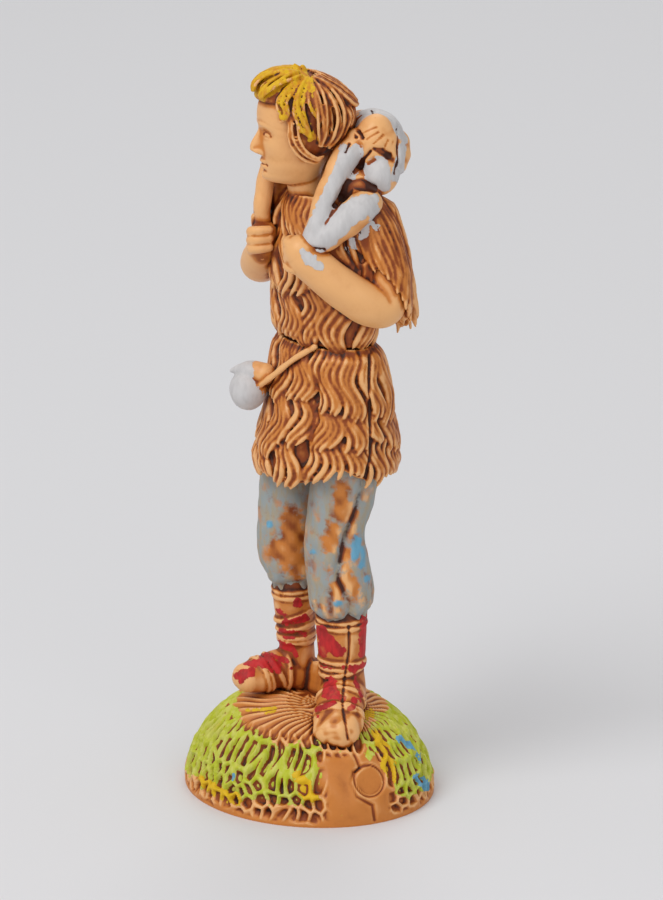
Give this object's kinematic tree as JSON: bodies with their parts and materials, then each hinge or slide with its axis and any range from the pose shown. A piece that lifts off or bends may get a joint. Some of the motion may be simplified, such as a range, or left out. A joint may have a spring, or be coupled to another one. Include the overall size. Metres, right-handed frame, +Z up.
{
  "type": "santon shepherd figurine",
  "caption": "Small one-piece moulded plastic crib figure: a shepherd in a fleece tunic carries a lamb across the shoulders and stands on a domed grassy mound.",
  "frame": {"origin": "middle of the mound's flat underside, on the surface that the figure stands on", "axes": "+Z up, +Y towards the figure's back, so that the body faces -Y, and +X towards the figure's left hand"},
  "size_m": [0.036, 0.032, 0.0994],
  "materials": {
    "painted_plastic": "orange-tan moulded plastic with a brown wash in its hollows and hand-brushed matt paint in white, yellow, grey-blue, red and grass green"
  },
  "bodies": {
    "root": {"shepherd_figurine": "painted_plastic"}
  },
  "joints": []
}
